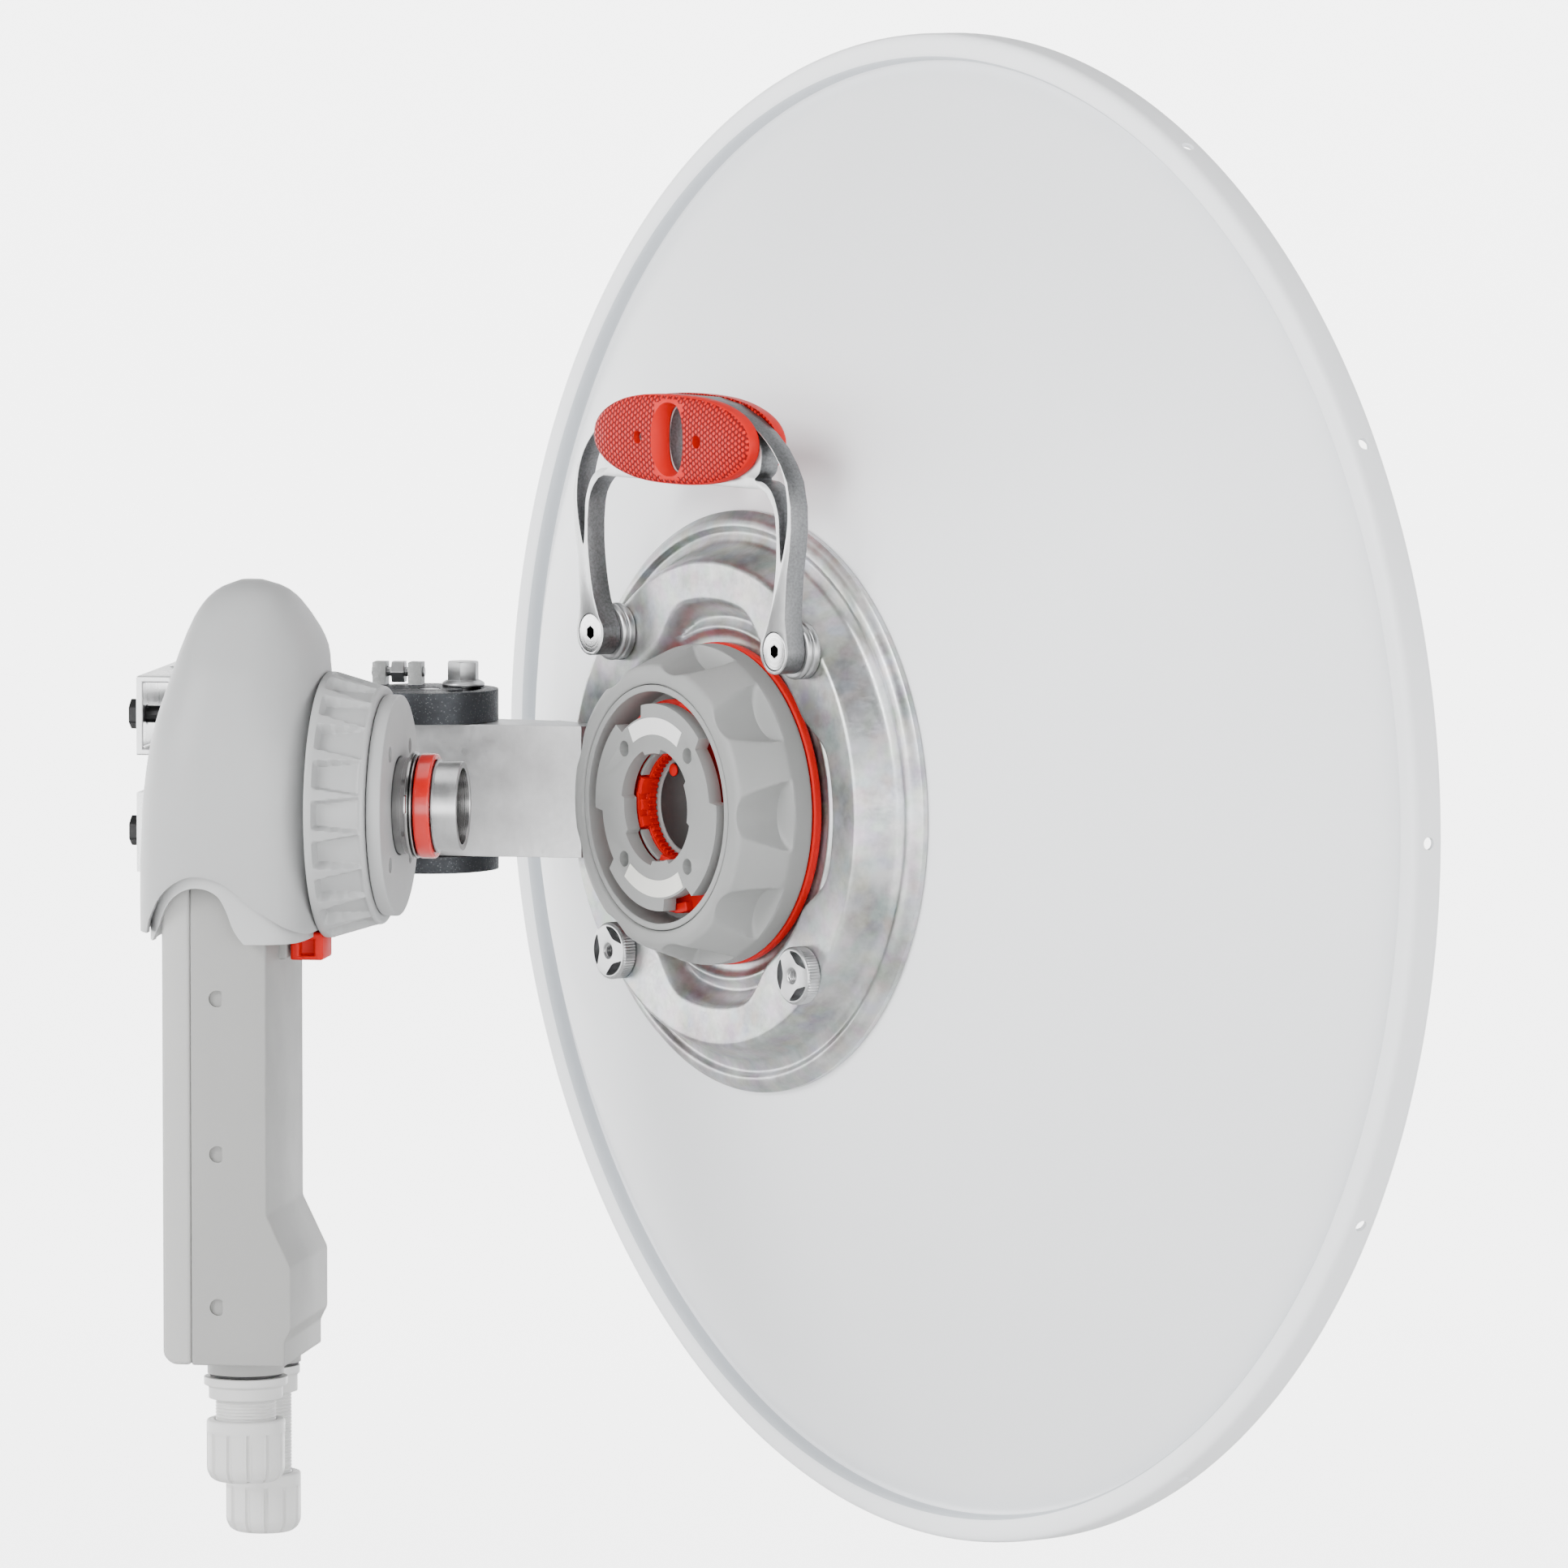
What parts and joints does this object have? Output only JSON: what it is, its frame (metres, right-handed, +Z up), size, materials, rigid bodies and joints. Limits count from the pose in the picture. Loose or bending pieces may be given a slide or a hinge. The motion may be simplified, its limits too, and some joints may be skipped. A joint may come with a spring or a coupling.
{
  "type": "parabolic dish antenna",
  "caption": "Deep white parabolic dish seen with its back-mounted twist-lock port, pole clamp, carrying handle and a plug-in radio with cable glands.",
  "frame": {"origin": "on the pole's axis, level with the dish's axis", "axes": "+Z up along the pole; the dish looks along -Y; the arm runs at 45 degrees from the dish to the pole"},
  "size_m": [0.686, 0.4324, 0.686],
  "materials": {
    "dish_paint": "smooth white powder coat",
    "grey_plastic": "fine satin moulding",
    "radio_plastic": "fine spark texture",
    "gland_plastic": "satin nylon",
    "red_plastic": "satin moulding",
    "black_rubber": "matt",
    "galvanised_steel": "zinc plated, faintly mottled",
    "stainless_steel": "turned and brushed",
    "brushed_aluminium": "brushed and tumbled",
    "cast_metal": "dark grey shot-blasted casting",
    "black_steel": "black oxide",
    "circuit_board": "solder mask"
  },
  "bodies": {
    "pole_bracket": {"clamp_block": "cast_metal", "elevation_bolt": "stainless_steel", "elevation_nut": "stainless_steel"},
    "upper_jaw": {"jaw_upper": "stainless_steel", "jaw_bolt_upper_far": "black_steel", "jaw_bolt_upper_near": "black_steel"},
    "lower_jaw": {"jaw_lower": "stainless_steel", "jaw_bolt_lower_far": "black_steel", "jaw_bolt_lower_near": "black_steel"},
    "tilt_head": {"clevis": "cast_metal", "azimuth_pin": "stainless_steel", "adjust_screw": "stainless_steel"},
    "dish": {"reflector": "dish_paint", "back_plate": "galvanised_steel", "front_clamp_ring": "galvanised_steel", "slotted_bolt_1": "stainless_steel", "slotted_bolt_2": "stainless_steel", "slotted_bolt_3": "stainless_steel", "slotted_bolt_4": "stainless_steel", "port_housing": "grey_plastic", "housing_ring_nut": "galvanised_steel", "wheel_seal_ring": "red_plastic", "port_plate": "grey_plastic", "port_membrane": "black_rubber", "feed_waveguide": "brushed_aluminium", "feed_cone": "gland_plastic", "subreflector": "brushed_aluminium", "handle_frame": "brushed_aluminium", "handle_bolt_left": "stainless_steel", "handle_bolt_right": "stainless_steel", "grip_shell_back": "red_plastic", "grip_shell_front": "red_plastic", "grip_screw_left": "stainless_steel", "grip_screw_right": "stainless_steel", "bracket_arm": "galvanised_steel", "arm_bolt_lower": "stainless_steel", "arm_bolt_upper": "stainless_steel", "azimuth_clamp_bolt": "stainless_steel", "azimuth_clamp_nut": "stainless_steel"},
    "wheel": {"hand_wheel": "grey_plastic"},
    "lock": {"port_lock_ring": "red_plastic"},
    "adaptor": {"waveguide_tube": "stainless_steel", "o_ring": "red_plastic", "adaptor_flange": "grey_plastic", "hood": "grey_plastic"},
    "adaptor_ring": {"ribbed_ring": "grey_plastic"},
    "latch": {"latch_button": "red_plastic"},
    "radio": {"radio_front_shell": "radio_plastic", "radio_rear_shell": "radio_plastic", "circuit_board": "circuit_board", "gland_body_1": "gland_plastic", "gland_body_2": "gland_plastic", "gland_gasket_1": "black_rubber", "gland_gasket_2": "black_rubber"},
    "gland_cap_1": {"gland_nut_1": "gland_plastic"},
    "gland_cap_2": {"gland_nut_2": "gland_plastic"}
  },
  "joints": [
    {"name": "elevation_tilt", "type": "hinge", "parent": "pole_bracket", "child": "tilt_head", "pos_m": [-0.03465, -0.03465, 0], "axis": [-0.7071, 0.7071, 0], "range_deg": [-20, 20]},
    {"name": "azimuth_turn", "type": "hinge", "parent": "tilt_head", "child": "dish", "pos_m": [-0.06194, -0.06194, 0], "axis": [0, 0, 1], "range_deg": [-12, 12]},
    {"name": "wheel_turn", "type": "hinge", "parent": "dish", "child": "wheel", "pos_m": [-0.21505, -0.07864, 0], "axis": [0, 1, 0], "range_deg": [0, 60]},
    {"name": "port_lock_turn", "type": "hinge", "parent": "dish", "child": "lock", "pos_m": [-0.21505, -0.07864, 0], "axis": [0, 1, 0], "range_deg": [0, 30]},
    {"name": "radio_swing", "type": "hinge", "parent": "dish", "child": "adaptor", "pos_m": [-0.09917, -0.02265, 0], "axis": [0, 0, 1], "range_deg": [0, 45]},
    {"name": "adaptor_ring_turn", "type": "hinge", "parent": "adaptor", "child": "adaptor_ring", "pos_m": [-0.21505, 0.02536, 0.006], "axis": [0.7071, 0.7071, 0], "range_deg": [-60, 60]},
    {"name": "latch_pull", "type": "slide", "parent": "adaptor", "child": "latch", "axis": [0, 0, -1], "range_m": [0, 0.004], "stiffness_N_per_m": 300, "springref_m": -0.001},
    {"name": "radio_slide", "type": "slide", "parent": "adaptor", "child": "radio", "axis": [0, 0, -1], "range_m": [0, 0.085]},
    {"name": "gland_cap_1_turn", "type": "hinge", "parent": "radio", "child": "gland_cap_1", "pos_m": [-0.15601, 0.10279, -0.274], "axis": [0, 0, 1], "continuous": true},
    {"name": "gland_cap_2_turn", "type": "hinge", "parent": "radio", "child": "gland_cap_2", "pos_m": [-0.12773, 0.0745, -0.294], "axis": [0, 0, 1], "continuous": true},
    {"name": "upper_jaw_slide", "type": "slide", "parent": "pole_bracket", "child": "upper_jaw", "axis": [0.7071, 0.7071, 0], "range_m": [-0.015, 0.015]},
    {"name": "lower_jaw_slide", "type": "slide", "parent": "pole_bracket", "child": "lower_jaw", "axis": [0.7071, 0.7071, 0], "range_m": [-0.015, 0.015]}
  ],
  "couplings": [
    {"joint": "port_lock_turn", "follows": "wheel_turn", "ratio": 0.5}
  ]
}
